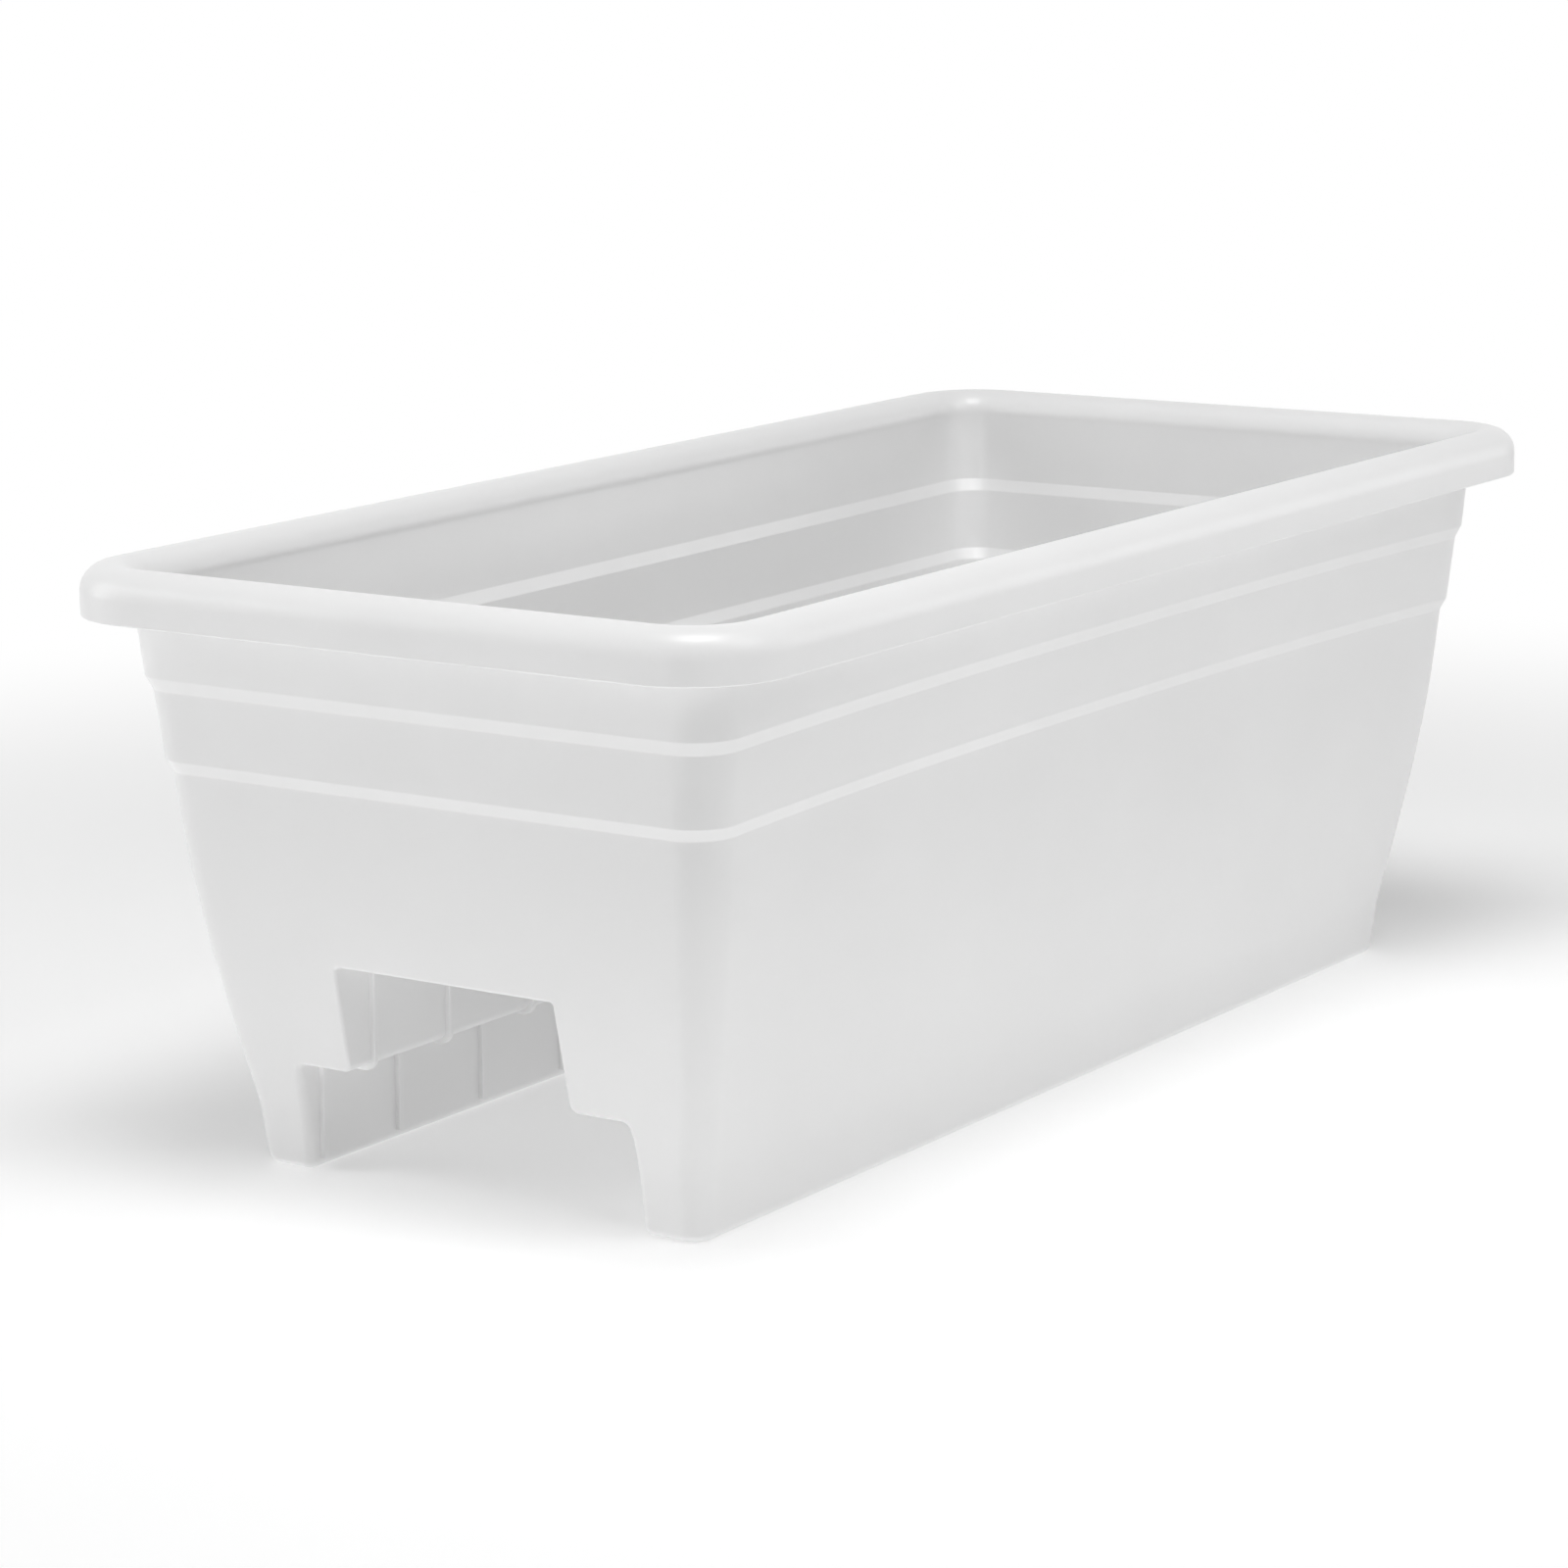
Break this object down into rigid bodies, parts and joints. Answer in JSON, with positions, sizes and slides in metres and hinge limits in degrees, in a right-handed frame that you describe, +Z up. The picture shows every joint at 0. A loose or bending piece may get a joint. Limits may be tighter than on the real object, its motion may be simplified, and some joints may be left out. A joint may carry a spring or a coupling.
{
  "type": "railing planter box",
  "caption": "Long open-topped plastic planter box with a rolled rim, hollow feet and a stepped slot underneath that sits over a deck rail.",
  "frame": {"origin": "on the ground under the middle of the box, between its two feet", "axes": "+X along the box, +Y towards the back wall, +Z up out of the open top"},
  "size_m": [0.6096, 0.3048, 0.2286],
  "materials": {
    "white_plastic": "satin",
    "plug_plastic": "satin"
  },
  "bodies": {
    "box": {"planter_box": "white_plastic"},
    "drain_plug_front_left_body": {"drain_plug_front_left": "plug_plastic"},
    "drain_plug_front_right_body": {"drain_plug_front_right": "plug_plastic"},
    "drain_plug_back_left_body": {"drain_plug_back_left": "plug_plastic"},
    "drain_plug_back_right_body": {"drain_plug_back_right": "plug_plastic"}
  },
  "joints": [
    {"name": "drain_plug_front_left_pull", "type": "slide", "parent": "box", "child": "drain_plug_front_left_body", "axis": [0, 0, 1], "range_m": [0, 0.03]},
    {"name": "drain_plug_front_right_pull", "type": "slide", "parent": "box", "child": "drain_plug_front_right_body", "axis": [0, 0, 1], "range_m": [0, 0.03]},
    {"name": "drain_plug_back_left_pull", "type": "slide", "parent": "box", "child": "drain_plug_back_left_body", "axis": [0, 0, 1], "range_m": [0, 0.03]},
    {"name": "drain_plug_back_right_pull", "type": "slide", "parent": "box", "child": "drain_plug_back_right_body", "axis": [0, 0, 1], "range_m": [0, 0.03]}
  ]
}
